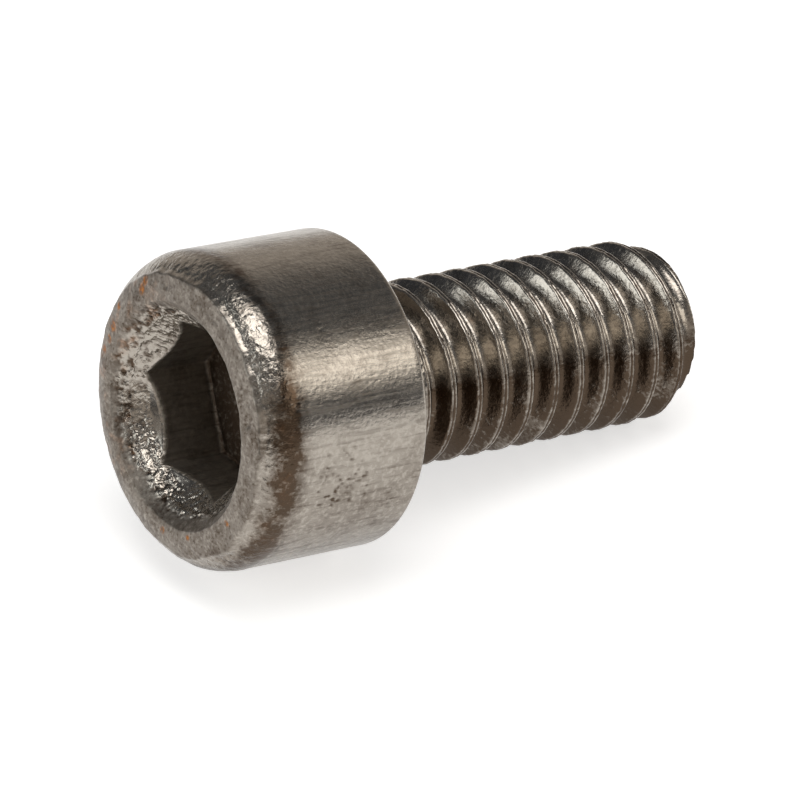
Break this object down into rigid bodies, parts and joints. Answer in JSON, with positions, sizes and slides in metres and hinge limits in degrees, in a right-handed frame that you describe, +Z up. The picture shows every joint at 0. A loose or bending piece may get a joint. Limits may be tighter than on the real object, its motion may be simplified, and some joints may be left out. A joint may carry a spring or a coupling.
{
  "type": "hexagon socket head cap screw",
  "caption": "Fully threaded steel cap screw with a plain cylindrical head, a hexagon socket and a rounded face edge, lying on its side.",
  "frame": {"origin": "centre of the lying screw's box, on the surface that it rests on", "axes": "+X runs from the head towards the tip, whose axis dips 10.5 degrees as the screw lies on the head's rim and the last full crest; +Z is up"},
  "size_m": [0.019, 0.01, 0.0107],
  "materials": {
    "stainless": "satin stainless steel, worn, with small rust spots"
  },
  "bodies": {
    "root": {"cap_screw": "stainless"}
  },
  "joints": []
}
